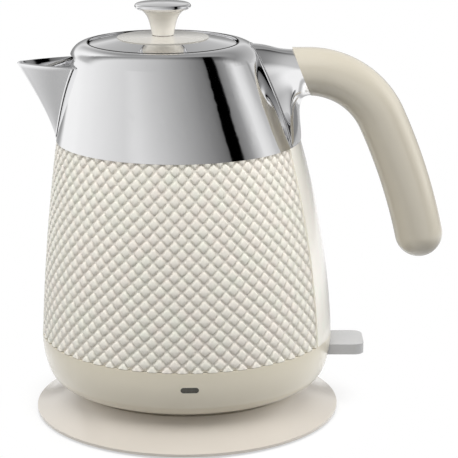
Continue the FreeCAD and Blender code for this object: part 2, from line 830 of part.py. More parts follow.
rocker_arm = box(
    "rocker_arm", S.control_radius + 3.5, S.rocker_x + 10.5, -rocker_half, rocker_half,
    rocker_z - 1.8, rocker_z + 1.8)
rocker_hub = along_y("rocker_hub", 1.4, S.rocker_x, -rocker_half - 4.0, rocker_z, 2 * rocker_half + 8.0)
keep("trip_rocker", fuse("trip_rocker", rocker_arm, rocker_hub))

steam_long = wall_top + 8 - spreader_low
steam_blank = cylinder("steam_blank", S.steam_radius, S.steam_x, S.steam_y, spreader_low - 4, steam_long)
steam_bore = cylinder("steam_bore", S.steam_radius - 1, S.steam_x, S.steam_y, 0, wall_top + 60)
keep("steam_tube", cut("steam_tube", steam_blank, steam_bore))

# Switch lever, its pin and its cradle
pivot_z = lever_top - S.lever_thick / 2
tip_start = lever_tip - S.lever_corner
lever_plate = padded("lever_plate", "XY_Plane", [
    (pivot_x - 4.0, -S.lever_half),
    (tip_start, -S.lever_half),
    (lever_tip, S.lever_corner - S.lever_half, S.lever_corner, -1),
    (lever_tip, S.lever_half - S.lever_corner),
    (tip_start, S.lever_half, S.lever_corner, -1),
    (pivot_x - 4.0, S.lever_half),
], S.lever_thick, lever_low)
lever_bore = along_y("lever_bore", S.pivot_radius + 0.06, pivot_x, -40, pivot_z, 80)
keep("lever_paddle", cut("lever_paddle", lever_plate, lever_bore))
keep("lever_arm", box("lever_arm", S.rocker_x + 12, pivot_x - 4.0, -4, 4, pivot_z - 2, pivot_z + 2))
pin_half = S.lever_half + 4.2
keep("lever_pin", along_y("lever_pin", S.pivot_radius, pivot_x, -pin_half, pivot_z, 2 * pin_half))
cradle_walls = []
for n, side in enumerate((-1, 1)):
    near, far = (S.lever_half + 0.8, S.lever_half + 3.6)
    low, high = (near, far) if side > 0 else (-far, -near)
    cradle_walls.append(box(
        "cradle_post%d" % n, pivot_x - 7, pivot_x - 2, low, high, lip_top, pivot_z + 4))
    cradle_walls.append(box(
        "cradle_ear%d" % n, pivot_x - 7, pivot_x + 2.6, low, high, pivot_z - 4, pivot_z + 4))
foot_half = S.lever_half + 3.6
cradle_foot = box("cradle_foot", pivot_x - 9, pivot_x - 2, -foot_half, foot_half, lip_top, lip_top + 1.6)
cradle_bore = along_y("cradle_bore", S.pivot_radius + 0.02, pivot_x, -40, pivot_z, 80)
keep("lever_cradle", cut("lever_cradle", fuse("cradle_blank", cradle_foot, *cradle_walls), cradle_bore))

# Chrome collar


def collar_form(name, inset):
    """Leaning cone of the collar and its rounded shoulder, inside the surface by the inset."""
    core = collar_top - S.collar_round
    rounding = S.collar_round - inset

    def level(angle):
        """Ring of the shoulder where the surface has turned up by the angle."""
        z = core + rounding * sin(angle)
        drift = (z - wall_top) / (collar_top - wall_top)
        x = -S.wall_lean - (S.collar_lean - S.wall_lean) * drift
        return (S.collar_core + rounding * cos(angle), x, None, z)

    turn = 90 - S.collar_slope
    body = lofted(name, "XY_Plane", [
        (S.wall_top_radius - inset * 1.05, -S.wall_lean, None, wall_top),
        level(S.collar_slope),
    ], True)
    rings = []
    for number, share in enumerate((0.0, 0.25, 0.5, 0.75, 1.0)):
        radius, x, y, z = level(S.collar_slope + turn * share)
        sketch = new_sketch(body, "%s_level%d" % (name, number), "XY_Plane", x, y, z, SEAM)
        rings.append(ring(sketch, radius))
    loft = body.newObject("PartDesign::AdditiveLoft", name + "_shoulder")
    loft.Profile = rings[0]
    loft.Sections = rings[1:]
    return body


# share of the spout's height and of its reach at each section of the keel
KEEL = ((0.0, 0.0), (0.31, 0.23), (0.64, 0.57), (1.0, 1.0))
keel_root = S.wall_lean + S.wall_top_radius + 0.4


def spout_form(name, shift, rise=0.0):
    """V-shaped prism that follows the keel of the spout, moved back by the shift."""
    body = new_body(name)
    depth = 46.0
    nose, angle = S.spout_nose, S.spout_angle
    side_x = nose - nose * sin(angle)
    side_y = nose * cos(angle)
    spread = side_y + (depth - side_x) * sin(angle) / cos(angle)
    rings = []
    for number, (height, reach) in enumerate(KEEL):
        z = wall_top + (spout_top - wall_top) * height + rise * height
        x = shift - keel_root - (S.spout_reach - keel_root) * reach
        sketch = new_sketch(body, "%s_vee%d" % (name, number), "XY_Plane", x, None, z)
        rings.append(draw(sketch, [
            (as_size(depth), spread),
            (side_x, side_y),
            (side_x, -side_y, nose, -1),
            (as_size(depth), -spread),
        ]))
    loft = body.newObject("PartDesign::AdditiveLoft", name + "_loft")
    loft.Profile = rings[0]
    loft.Sections = rings[1:]
    return body


collar_out = collar_form("collar_out", 0)
collar_hollow = collar_form("collar_hollow", S.collar_thick)
spout_hollow = spout_form("spout_hollow", S.spout_wall / sin(S.spout_angle), 6.0)
pour_low = wall_top + 13
pour_hole = cut("pour_hole", spout_hollow, box("pour_sill", -160, 40, -80, 80, wall_top - 40, pour_low))
seal_inner = S.wall_top_radius - pot_inside
collar_ledge = turned("collar_ledge", [
    (seal_inner, wall_top + 1.5),
    (S.wall_top_radius - 1.5, wall_top + 1.5),
    (S.wall_top_radius - 2.2, wall_top + 3.0),
    (seal_inner, wall_top + 3.0),
], -S.wall_lean)
mouth_cut = cylinder("mouth_cut", mouth_radius, -S.lid_lean, 0, wall_top + 20, 120)
collar_shell = cut("collar_shell", collar_out, collar_hollow, mouth_cut)


def collar_back(z):
    """Outer face of the collar in the handle plane, at the height z."""
    share = (z - wall_top) / (collar_top - wall_top)
    shoulder = collar_top - S.collar_round + S.collar_round * sin(S.collar_slope)
    shoulder_radius = S.collar_core + S.collar_round * cos(S.collar_slope)
    rise = (z - wall_top) / (shoulder - wall_top)
    radius = S.wall_top_radius + (shoulder_radius - S.wall_top_radius) * rise
    return radius - S.wall_lean - (S.collar_lean - S.wall_lean) * share


bolt_start = collar_back(grip_height + 3.6) - S.collar_thick - 4.8
bolt_spread = 9.0
bolt_holes = [
    along_x("collar_bolt_hole%d" % n, 2.1, bolt_start, y, grip_height, 20)
    for n, y in enumerate((-bolt_spread, bolt_spread))
]
collar_blank = fuse("collar_blank", collar_shell, collar_ledge)
keep("collar", cut("collar", collar_blank, pour_hole, fuse("collar_bolt_holes", *bolt_holes)))
keep("collar_seal", turned("collar_seal", [
    (seal_inner, wall_top),
    (flange_outer - 0.6, wall_top),
    (flange_outer - 0.6, wall_top + 1.5),
    (seal_inner, wall_top + 1.5),
], -S.wall_lean))
keep("spout", cut("spout", spout_form("spout_out", 0), spout_hollow, collar_out))

filter_face = collar_form("filter_face", S.collar_thick + 0.2)
filter_out = cut("filter_out", filter_face, collar_form("filter_back", S.collar_thick + 1.7))
filter_wide = spout_form("filter_wide", 0.5)
filter_tight = spout_form("filter_tight", 6.5, 4.0)
filter_roof = box("filter_roof", -120, 0, -60, 60, spout_top - 4, spout_top + 60)
filter_sill = box("filter_sill", -160, 40, -80, 80, wall_top - 40, pour_low - 4)
frame_blank = cut("frame_blank", common("frame_vee", filter_out, filter_wide), filter_roof, filter_sill)
inner_roof = box("inner_roof", -120, 0, -60, 60, spout_top - 8, spout_top + 60)
eye = cut("filter_eye", filter_tight, inner_roof)
keep("filter_frame", cut("filter_frame", frame_blank, eye))
mesh_face = collar_form("mesh_face", S.collar_thick + 0.6)
mesh_layer = cut("mesh_layer", mesh_face, collar_form("mesh_back", S.collar_thick + 1.1))
mesh_blank = common("mesh_blank", mesh_layer, cut("mesh_eye", spout_form("mesh_tight", 6.7, 4.0), box(
    "mesh_roof", -120, 0, -60, 60, spout_top - 8.2, spout_top + 60)))
mesh_slots = []
for n in range(5):
    y = (n - 2) * 3.4
    slot_low = spout_top - 22 + abs(n - 2) * 2
    mesh_slots.append(box("mesh_slot%d" % n, -100, -40, y - 0.9, y + 0.9, slot_low, spout_top - 9.5))
keep("filter_mesh", cut("filter_mesh", mesh_blank, fuse("mesh_slots", *mesh_slots)))

# Lid seat inside the mouth, then the lift-off lid
seat_top = collar_top - S.collar_thick
keep("mouth_ring", turned("mouth_ring", [
    (mouth_radius - 6.0, seat_top - 12.4),
    (mouth_radius + 1.4, seat_top - 12.4),
    (mouth_radius + 1.4, seat_top - 3.2),
    (mouth_radius - 0.2, seat_top - 3.2),
    (mouth_radius - 0.2, seat_top - 10.4),
    (mouth_radius - 6.0, seat_top - 10.4),
], -S.lid_lean))
dome_thick = 0.9
keep("lid_dome", turned("lid_dome", [
    (lid_radius - 1.2, lid_edge - 6.0),
    (lid_radius, lid_edge - 6.0),
    (lid_radius, lid_edge - 1.0),
    (lid_radius - 1.0, lid_edge + 0.2, as_size(1.2), -1),
    (S.disc_radius, disc_edge - 0.2),
    (S.disc_radius - 2, disc_edge - 0.2),
    (S.disc_radius - 2, disc_edge - 0.2 - dome_thick),
    (S.disc_radius, disc_edge - 0.2 - dome_thick),
    (lid_radius - 1.2, lid_edge - 1.0),
], -S.lid_lean))
keep("lid_disc", turned("lid_disc", [
    (as_size(2.2), disc_edge - 2.2),
    (S.disc_radius - 2.1, disc_edge - 2.2),
    (S.disc_radius - 2.1, disc_edge - 0.2),
    (S.disc_radius - 0.2, disc_edge - 0.2),
    (S.disc_radius - 0.2, disc_edge + 0.3),
    (as_size(2.2), knob_base - 0.1, as_size(400.0), -1),
], -S.lid_lean))
stem_top = knob_top - 4.2
stem_span = stem_top - knob_base
keep("knob_stem", turned("knob_stem", [
    (as_size(1.7), knob_base),
    (as_size(6.5), knob_base),
    (as_size(8.6), knob_base + stem_span * 0.62, as_size(38.0), 1),
    (as_size(13.6), stem_top, as_size(11.0), 1),
    (as_size(1.7), stem_top),
], -S.lid_lean))
keep("knob_cap", turned("knob_cap", [
    (0, stem_top),
    (S.cap_radius - 2.0, stem_top),
    (S.cap_radius, stem_top + 1.7, as_size(2.6), -1),
    (S.cap_radius - 1.4, stem_top + 3.3, as_size(1.8), -1),
    (as_size(3.0), knob_top, as_size(150.0), -1),
    (0, knob_top),
], -S.lid_lean))
plug_low = seat_top - 9.6
keep("lid_liner", turned("lid_liner", [
    (as_size(2.0), plug_low),
    (mouth_radius - 6.6, plug_low),
    (mouth_radius - 6.6, lid_edge - 5.6),
    (lid_radius - 1.4, lid_edge - 5.6),
    (lid_radius - 1.4, lid_edge - 3.4),
    (mouth_radius - 8.6, lid_edge - 3.4),
    (mouth_radius - 8.6, plug_low + 2.0),
    (as_size(2.0), plug_low + 2.0),
], -S.lid_lean))
keep("lid_gasket", turned("lid_gasket", [
    (mouth_radius - 6.5, seat_top - 10.0),
    (mouth_radius - 1.4, seat_top - 10.0),
    (mouth_radius - 0.9, seat_top - 8.9),
    (mouth_radius - 6.5, seat_top - 7.6),
], -S.lid_lean))
knob_bolt_low = plug_low - 1.6
keep("knob_screw", turned("knob_screw", [
    (0, knob_bolt_low),
    (as_size(3.4), knob_bolt_low),
    (as_size(3.4), plug_low),
    (as_size(1.6), plug_low),
    (as_size(1.6), stem_top - 1.0),
    (0, stem_top - 1.0),
], -S.lid_lean))

# Handle: chrome saddle on the collar, core, bolts and the free-ended grip
slope_x = S.joint_top_x - S.joint_low_x
slope_z = joint_top_z - joint_low_z
grip_side = padded("grip_side", "XZ_Plane", [
    (S.joint_top_x + slope_x * 1.2, joint_top_z + slope_z * 1.2),
    (S.joint_low_x - slope_x * 4, joint_low_z - slope_z * 4),
    (S.joint_low_x + 180, joint_low_z - slope_z * 4),
    (S.joint_low_x + 180, joint_top_z + slope_z * 1.2),
], 120, None, True)
neck = lofted("neck", "YZ_Plane", [
    (S.grip_radius + 2.6, None, grip_height, as_size(32.0)),
    (S.grip_radius, None, grip_height, S.joint_low_x + 2),
], True)
HORN = (
    (0.0, 68.4, 72.6),
    (0.28, 67.7, 58.0),
    (0.54, 68.0, 44.0),
    (0.77, 69.9, 31.0),
    (1.0, 74.4, 20.0),
    (1.25, 79.0, 13.4),
    (1.46, 80.0, 9.0),
)
horn_rings = []
for t, right, radius in HORN:
    ring_x = S.joint_low_x + (right - 73.8) - radius
    horn_rings.append((as_size(radius), ring_x, None, wall_top + (joint_low_z + 1.0 - wall_top) * t))
horn = lofted("horn", "XY_Plane", horn_rings)
horn_side = padded("horn_side", "YZ_Plane", [
    (-S.saddle_half, wall_top - 1),
    (S.saddle_half, wall_top - 1),
    (S.grip_radius * 0.98, grip_height),
    (-S.grip_radius * 0.98, grip_height),
], 60, as_size(30.0))
apron = common("apron", horn, horn_side)
core_end = S.grip_start + 18
core_bore = along_x("core_bore", 5.05, 0, 0, grip_height - 1.0, core_end + 0.5)
saddle_holes = [
    along_x("saddle_bolt_hole%d" % n, 2.05, bolt_start, y, grip_height, 19)
    for n, y in enumerate((-bolt_spread, bolt_spread))
]
lid_way = cylinder("lid_way", mouth_radius + 0.6, -S.lid_lean, 0, wall_top, 120)
core_start = S.joint_top_x - 8
core_socket = along_x("core_socket", 5.05, core_start, 0, grip_height - 1.0, 60)
keep("handle_saddle", cut(
    "handle_saddle", fuse("saddle_blank", neck, apron), collar_out, grip_side, lid_way,
    core_socket, fuse("saddle_holes", *saddle_holes)))

path_body = new_body("grip_pipe")
path = new_sketch(path_body, "grip_path", "XZ_Plane")
bend_x = S.grip_start + S.grip_bend * sin(S.grip_bend_angle)
bend_z = grip_height + S.grip_bend * (cos(S.grip_bend_angle) - 1)
end_x = bend_x + S.grip_sweep * (sin(S.grip_end_angle) - sin(S.grip_bend_angle))
end_z = bend_z + S.grip_sweep * (cos(S.grip_end_angle) - cos(S.grip_bend_angle))
draw(path, [
    (S.joint_top_x - 13, grip_height),
    (S.grip_start, grip_height),
    (bend_x, bend_z, S.grip_bend, 1),
    (end_x, end_z, S.grip_sweep, 1),
], False)
section_place = new_sketch(path_body, "grip_section", "YZ_Plane", None, grip_height, S.joint_top_x - 13)
section = ring(section_place, S.grip_radius)
pipe = path_body.newObject("PartDesign::AdditivePipe", "grip_sweep_pipe")
pipe.Profile = section
pipe.Spine = (path, ["Edge1", "Edge2", "Edge3"])
grip_end = doc.addObject("Part::Sphere", "grip_end")
grip_end.Radius = S.grip_radius.value
bind(grip_end, "Radius", S.grip_radius)
place(grip_end, end_x, None, end_z)
grip_joined = common("grip_joined", fuse("grip_whole", path_body, grip_end), grip_side)
keep("grip", cut("grip", grip_joined, core_bore))
keep("grip_core", along_x("grip_core", 5.0, core_start, 0, grip_height - 1.0, core_end - core_start))
bolts = []
for n, y in enumerate((-bolt_spread, bolt_spread)):
    head = along_x("handle_bolt_head%d" % n, 3.6, bolt_start, y, grip_height, 2.4)
    stem = along_x("handle_bolt_stem%d" % n, 2.0, bolt_start, y, grip_height, 18)
    bolts.append(fuse("handle_bolt%d" % n, head, stem))
keep("handle_bolts", fuse("handle_bolts", *bolts))

doc.recompute()

faults = []
for thing in doc.Objects:
    if {"Invalid", "Error"} & set(thing.State):
        faults.append("%s: %s" % (thing.Name, ",".join(thing.State)))
for name, thing in nodes.items():
    shape = thing.Shape
    if shape.isNull() or not shape.isValid() or not shape.Solids:
        faults.append("%s has no valid solid" % name)
if faults:
    raise RuntimeError("; ".join(faults))

os.makedirs("parts", exist_ok=True)
for name, thing in nodes.items():
    thing.Shape.exportStep("parts/%s.step" % name)
    bounds = thing.Shape.BoundBox
    print("%-16s solids %d  volume %9.1f  x %7.1f %7.1f  y %7.1f %7.1f  z %7.1f %7.1f" % (
        name, len(thing.Shape.Solids), thing.Shape.Volume,
        bounds.XMin, bounds.XMax, bounds.YMin, bounds.YMax, bounds.ZMin, bounds.ZMax))
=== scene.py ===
import json
import math

import bmesh
import bpy
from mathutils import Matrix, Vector


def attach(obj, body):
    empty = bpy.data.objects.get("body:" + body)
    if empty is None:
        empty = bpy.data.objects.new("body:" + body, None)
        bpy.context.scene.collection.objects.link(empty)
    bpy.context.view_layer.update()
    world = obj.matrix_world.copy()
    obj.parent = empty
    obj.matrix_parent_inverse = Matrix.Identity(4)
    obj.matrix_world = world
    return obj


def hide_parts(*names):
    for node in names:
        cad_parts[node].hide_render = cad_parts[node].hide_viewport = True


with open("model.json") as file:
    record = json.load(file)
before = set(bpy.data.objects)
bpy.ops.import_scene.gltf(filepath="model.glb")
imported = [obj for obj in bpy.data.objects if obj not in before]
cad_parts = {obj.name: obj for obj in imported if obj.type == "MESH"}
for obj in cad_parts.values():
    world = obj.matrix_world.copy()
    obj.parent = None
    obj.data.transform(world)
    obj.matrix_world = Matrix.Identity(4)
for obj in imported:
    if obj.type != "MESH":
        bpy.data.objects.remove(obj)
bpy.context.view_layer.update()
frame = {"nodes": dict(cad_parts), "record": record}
nodes = frame["nodes"]
MM = 0.001
WHITE = (1.0, 1.0, 1.0, 1.0)

# Sizes are in millimetres, up to the part on camera and light

# Body wall: it leans, bulges and carries the diamonds, and is open behind for the smooth panel
SEAM = 49.7
SEAM_RADIUS = 87.3
SEAM_GAP = 0.25
WALL_TOP = 167.0
WALL_TOP_RADIUS = 72.1
WALL_BULGE = 2.55
WALL_LEAN = 4.4
PANEL_ANGLE = 27.0

# Diamonds: the cut of their corners, the steps inward and outward from the groove, and the crown on top.
# Faces no larger than the crossing area, in square millimetres, lie where the grooves cross
DIAMOND_COLUMNS = 53
DIAMOND_ROWS = 14
DIAMOND_RELIEF = 1.4
DIAMOND_CORNER = 1.05
DIAMOND_STEPS = ((0.2, 0.0), (0.5, 0.8), (0.4, 0.38), (0.3, 0.14))
DIAMOND_CROWN = 0.08
CROSSING_AREA = 5.0

# Collar, with its rounded shoulder, and the mouth that the lid closes
COLLAR_TOP = 224.5
COLLAR_LEAN = 12.7
COLLAR_CORE = 44.7
SHOULDER_BEND = 12.0
SHOULDER_ANGLE = math.radians(18.0)
SHOULDER_RADIUS = COLLAR_CORE + SHOULDER_BEND * math.cos(SHOULDER_ANGLE)
SHOULDER = COLLAR_TOP - SHOULDER_BEND + SHOULDER_BEND * math.sin(SHOULDER_ANGLE)
LID_LEAN = 13.0
MOUTH_RING = 44.35
LID_JOINT_RADIUS = 0.3
LID_JOINT_POINTS = 72

# Spout: its keel is known at four shares of its height
SPOUT_FOOT = WALL_TOP + 0.3
SPOUT_TOP = 212.0
SPOUT_ROOT = WALL_LEAN + WALL_TOP_RADIUS + 0.4
SPOUT_TIP = 98.6
SPOUT_KEEL = ((0.0, 0.0), (0.31, 0.23), (0.64, 0.57), (1.0, 1.0))
SPOUT_ANGLE = math.radians(28.0)
SPOUT_SWELL = 2.2
SWELL_RUN = 40
NOSE_RADIUS = 1.6
NOSE_GROWTH = 3.6
NOSE_SHARE = 0.25
LONGEST_RUN = 60
RUN_STEP = 0.05
SPOUT_LET_IN = 0.6
SPOUT_WALL = 1.6
SPOUT_RIM = 0.6
RIM_ANGLE = 60.0
SPOUT_COLUMNS = 48
SPOUT_ROWS = 18

# Handle casting: heights and half widths of its edge on the collar, from the body wall to its tip
CASTING_EDGE = (
    (167.2, 27.5), (179.0, 21.0), (192.0, 15.6), (205.0, 13.0), (215.0, 11.6), (221.0, 8.0), (223.3, 0.0),
)
CASTING_LIMIT = COLLAR_TOP - 1
FOOT_SHARE = 0.2
FOOT_PROUD = 0.7
CASTING_LET_IN = 0.4
CASTING_COLUMNS = 96
CASTING_STEPS = 30
CLOSING_STEPS = 2

# Handle casting: how it leaves the collar and meets the leaning oval end of the grip
GRIP_CENTRE = Vector((68.4, 0, 206.2))
GRIP_HALF_HEIGHT = Vector((-10.8, 0, 27.0)) / 2
GRIP_HALF_WIDTH = 14.2
LEAVE_UP = Vector((-0.12, 0, 1))
LEAVE_BACK = Vector((0.85, 0, 0))
LEAVE_INWARD = 0.3
LEAVE_RATE = 1.6
BEND_OUT = 0.42
BEND_IN = 0.4
BEND_NARROWS = 0.12

# Trims: name, slot, radius and distance beside the edge that they follow
# The spout's joint rod is a dark rubber-finished rod: painted shade for the gap where the spout meets the
# collar
SPOUT_TRIM = (("spout_bead", "chrome", 1.0, 0.3), ("spout_joint_shade", "rubber", 0.4, 1.55))
SPOUT_TRIM_FOOT = WALL_TOP + 0.9
SPOUT_TRIM_HEIGHT = SPOUT_TOP - WALL_TOP - 1.2
SPOUT_TRIM_SPANS = 12
# The casting's joint rod is a dark rubber-finished rod: painted shade for the groove where the casting
# meets the collar
CASTING_TRIM = (
    ("casting_bead", "chrome", 0.6, 0.0), ("casting_joint_shade", "rubber", 0.35, 0.85),
    ("collar_bead", "chrome", 0.45, 1.6),
)
CASTING_TRIM_SPANS = 30
ROD_ROUNDING = 3

# Edges sharper than these angles, in degrees, stay crisp
WALL_CREASE = 40.0
SPOUT_CREASE = 40.0
CASTING_CREASE = 60.0
TRIM_CREASE = 60.0

# Points of a sheet nearer than this become one
MERGE_DISTANCE = 0.02


# Finishes

class Wire:
    """A socket in a node tree, so that maths on it reads as maths."""

    def __init__(self, tree, socket=None):
        self.tree = tree
        self.socket = socket

    def node(self, kind, settings=None, inputs=None, output=0):
        """Add a node, set it up, fill or link its sockets and give one of its outputs."""
        made = self.tree.nodes.new(kind)
        for name, value in (settings or {}).items():
            if name == "stops":
                ramp = made.color_ramp
                while len(ramp.elements) < len(value):
                    ramp.elements.new(0.5)
                for element, (place, shade) in zip(ramp.elements, value):
                    element.position = place
                    element.color = shade
            else:
                setattr(made, name, value)
        for name, value in (inputs or {}).items():
            if isinstance(value, Wire):
                self.tree.links.new(value.socket, made.inputs[name])
            else:
                made.inputs[name].default_value = value
        return Wire(self.tree, made.outputs[output])

    def maths(self, operation, first, second):
        return self.node("ShaderNodeMath", {"operation": operation}, {0: first, 1: second})

    def __add__(self, other):
        return self.maths("ADD", self, other)

    def __radd__(self, other):
        return self.maths("ADD", other, self)

    def __sub__(self, other):
        return self.maths("SUBTRACT", self, other)

    def __rsub__(self, other):
        return self.maths("SUBTRACT", other, self)

    def __mul__(self, other):
        return self.maths("MULTIPLY", self, other)

    def __rmul__(self, other):
        return self.maths("MULTIPLY", other, self)

    def __truediv__(self, other):
        return self.maths("DIVIDE", self, other)

    def greater(self, other):
        """The greater of this value and another."""
        return self.maths("MAXIMUM", self, other)

    def rise(self, start, end):
        """0 before the start, 1 past the end and smooth between them."""
        return self.node("ShaderNodeMapRange", {"interpolation_type": "SMOOTHSTEP"}, {
            "Value": self, "From Min": start, "From Max": end})

    def greys(self, levels):
        """A grey that follows this value through places and levels."""
        stops = [(place, (level, level, level, 1.0)) for place, level in levels]
        return self.node("ShaderNodeValToRGB", {"stops": stops}, {"Fac": self})

    def blend(self, first, second):
        """Mix two colours by this value."""
        return self.node(
            "ShaderNodeMix", {"data_type": "RGBA"}, {0: self, 6: first, 7: second}, 2)

    def darkened(self, other):
        """This colour multiplied by another."""
        return self.node("ShaderNodeMix", {"data_type": "RGBA", "blend_type": "MULTIPLY"}, {
            0: 1.0, 6: self, 7: other}, 2)


def colour(red, green, blue):
    """A linear colour from its eight-bit screen values."""
    parts = []
    for part in (red, green, blue):
        part /= 255.0
        parts.append(part / 12.92 if part <= 0.04045 else ((part + 0.055) / 1.055) ** 2.4)
    return (*parts, 1.0)


def grey(level):
    return colour(level, level, level)


class Finish:
    """A material with its shader, object coordinates and noise."""

    def __init__(self, name):
        self.material = bpy.data.materials.new(name)
        self.material.use_nodes = True
        self.tree = self.material.node_tree
        self.shader = self.tree.nodes["Principled BSDF"]
        self.wire = Wire(self.tree)
        self.place = self.wire.node("ShaderNodeTexCoord", output="Object")

    def noise(self, scale, detail=2.0):
        return self.wire.node("ShaderNodeTexNoise", {}, {
            "Vector": self.place, "Scale": scale, "Detail": detail})

    def stretched(self, scale, detail=2.0):
        """Noise with its own scale along each axis."""
        moved = self.wire.node("ShaderNodeMapping", {}, {"Vector": self.place, "Scale": scale})
        return self.wire.node("ShaderNodeTexNoise", {}, {"Vector": moved, "Scale": 1.0, "Detail": detail})

    def set(self, **values):
        """Set or link the shader's sockets, with underscores for the spaces in their names."""
        for name, value in values.items():
            socket = self.shader.inputs[name.replace("_", " ")]
            if isinstance(value, Wire):
                self.tree.links.new(value.socket, socket)
            else:
                socket.default_value = value

    def gloss(self, low, high, scale, detail=2.0):
        """Roughness that wanders between two values."""
        self.set(Roughness=low + (high - low) * self.noise(scale, detail))

    def bump(self, height, strength, distance):
        bumped = self.wire.node("ShaderNodeBump", {}, {
            "Height": height, "Strength": strength, "Distance": distance}, "Normal")
        self.set(Normal=bumped)


def satin_plastic(name, pale, deep, roughness, grain, coat):
    """Moulded plastic: a faint mottle in its colour and gloss, and a fine moulded grain."""
    finish = Finish(name)
    mottle = finish.noise(scale=38.0, detail=3.0)
    finish.set(Base_Color=mottle.blend(colour(*deep), colour(*pale)))
    finish.gloss(roughness - 0.04, roughness + 0.04, scale=120.0)
    if coat:
        finish.set(Coat_Weight=coat, Coat_Roughness=0.12)
    finish.bump(finish.noise(scale=2600.0), strength=grain, distance=0.0002)
    return finish.material


def bright_metal(name, pale, deep, low, high):
    """Plated metal: even colour, with a faint polish haze."""
    finish = Finish(name)
    haze = finish.noise(scale=55.0, detail=3.0)
    finish.set(Base_Color=haze.blend(colour(*deep), colour(*pale)), Metallic=1.0)
    finish.gloss(low, high, scale=160.0, detail=3.0)
    return finish.material


def drawn_metal(name, pale, deep, roughness, scale):
    """Bare metal with fine drawing lines."""
    finish = Finish(name)
    lines = finish.stretched(scale, detail=3.0)
    finish.set(Base_Color=lines.blend(colour(*deep), colour(*pale)), Metallic=1.0)
    finish.set(Roughness=roughness - 0.08 + 0.16 * lines)
    finish.bump(lines, strength=0.08, distance=0.0001)
    return finish.material


def pearl_plastic(name, pale, roughness, coat):
    """Glossy pearl plastic, with faint pink and green tints."""
    finish = Finish(name)
    pink = colour(pale + 1, pale - 5, pale - 15)
    green = colour(pale - 5, pale - 1, pale - 15)
    warm = colour(pale + 2, pale - 5, pale - 14)
    spread, shift = 2.4, 0.7
    tint = spread * finish.noise(scale=110.0) - shift
    drift = finish.noise(scale=31.0)
    finish.set(Base_Color=drift.blend(tint.blend(pink, green), warm))
    finish.gloss(roughness, roughness + 0.1, scale=200.0)
    finish.set(Coat_Weight=coat, Coat_Roughness=0.1)
    return finish.material


def clear_plastic():
    """Milky clear plastic of the water window."""
    finish = Finish("clear_plastic")
    cloud = finish.stretched((60.0, 60.0, 14.0))
    finish.set(Base_Color=cloud.blend(colour(196, 198, 194), colour(214, 215, 211)))
    finish.gloss(0.12, 0.22, scale=140.0)
    finish.set(Transmission_Weight=0.45, IOR=1.49)
    return finish.material


def dark_lens():
    """Smoked lens of the lamp, moulded with fine upright ribs."""
    finish = Finish("dark_lens")
    ribs = finish.stretched((900.0, 60.0, 60.0))
    finish.set(Base_Color=ribs.blend(colour(50, 49, 41), colour(76, 74, 63)))
    finish.gloss(0.12, 0.24, scale=300.0)
    finish.bump(ribs, strength=0.1, distance=0.0002)
    return finish.material


def board_resin():
    """Green board with darker copper tracks under the resin."""
    finish = Finish("board_resin")
    tracks = finish.wire.node("ShaderNodeTexVoronoi", {"feature": "DISTANCE_TO_EDGE"}, {
        "Vector": finish.place, "Scale": 400.0})
    finish.set(Base_Color=tracks.blend(colour(28, 62, 40), colour(38, 92, 58)))
    finish.gloss(0.4, 0.5, scale=300.0)
    return finish.material


# Moulded pieces: pale and deep colour, roughness, grain and clear coat
MOULDED = {
    "beige_plastic": ((201, 194, 178), (196, 189, 173), 0.34, 0.05, 1.0),
    # A lighter copy of the beige for the knob's stem: painted light that offsets the shadow the knob's cap
    # casts on it
    "stem_plastic_painted_light": ((253, 249, 240), (249, 245, 236), 0.2, 0.03, 1.0),
    "band_plastic": ((225, 217, 197), (220, 212, 192), 0.32, 0.05, 1.0),
    # A greyer, darker copy of the beige for the lid's disc: partly its own grey, partly painted shade that
    # offsets the top lamp
    "disc_plastic_grey_and_shaded": ((188, 184, 175), (183, 179, 170), 0.2, 0.03, 1.0),
    "stand_plastic": ((207, 200, 190), (202, 195, 185), 0.3, 0.05, 1.0),
    "silver_plastic": ((189, 189, 189), (183, 183, 183), 0.3, 0.05, 0.8),
    "black_plastic": ((36, 36, 36), (30, 30, 30), 0.45, 0.1, 0.0),
    "white_plastic": ((226, 224, 218), (220, 218, 212), 0.42, 0.06, 0.0),
    "rubber": ((48, 47, 46), (40, 39, 38), 0.7, 0.2, 0.0),
    "silicone": ((198, 196, 190), (190, 188, 182), 0.55, 0.1, 0.0),
}

# Bare metals: pale and deep colour, roughness, and how fine their lines are along each axis
DRAWN = {
    "steel": ((206, 206, 206), (186, 186, 187), 0.3, (500.0, 500.0, 30.0)),
    "aluminium": ((200, 202, 204), (178, 180, 183), 0.42, (400.0, 30.0, 400.0)),
    "brass": ((206, 172, 104), (190, 156, 90), 0.3, (400.0, 400.0, 40.0)),
}

FINISHES = {
    "textured_plastic": pearl_plastic("pearl_plastic", 231, 0.22, 0.5),
    # A lighter copy of the pearl for the smooth rear panel: painted highlight for the bright wash on the
    # right, with the panel's own smoother gloss
    "panel_pearl_painted_highlight": pearl_plastic("panel_pearl_painted_highlight", 251, 0.12, 1.0),
    "chrome": bright_metal("chrome", (242, 242, 243), (238, 238, 239), 0.03, 0.06),
    "clear_plastic": clear_plastic(),
    "dark_lens": dark_lens(),
    "circuit_board": board_resin(),
}
for moulded, look in MOULDED.items():
    FINISHES[moulded] = satin_plastic(moulded, *look)
for drawn, look in DRAWN.items():
    FINISHES[drawn] = drawn_metal(drawn, *look)

# Solids whose finish isn't that of their slot: the band and stand have their own colour, while the stem,
# disc and panel finishes carry painted light and shade, noted at each
OWN_FINISH = {
    # Painted light: the stem is lighter to offset the cap's shadow
    "knob_stem": "stem_plastic_painted_light",
    # Partly painted shade: the disc is darker to offset the top lamp, and partly greyer in its own colour
    "lid_disc": "disc_plastic_grey_and_shaded",
    "base_band": "band_plastic",
    "stand_cover": "stand_plastic",
    # Painted highlight: the panel's pearl is lighter than the wall's
    "rear_panel": "panel_pearl_painted_highlight",
}


# Modelling

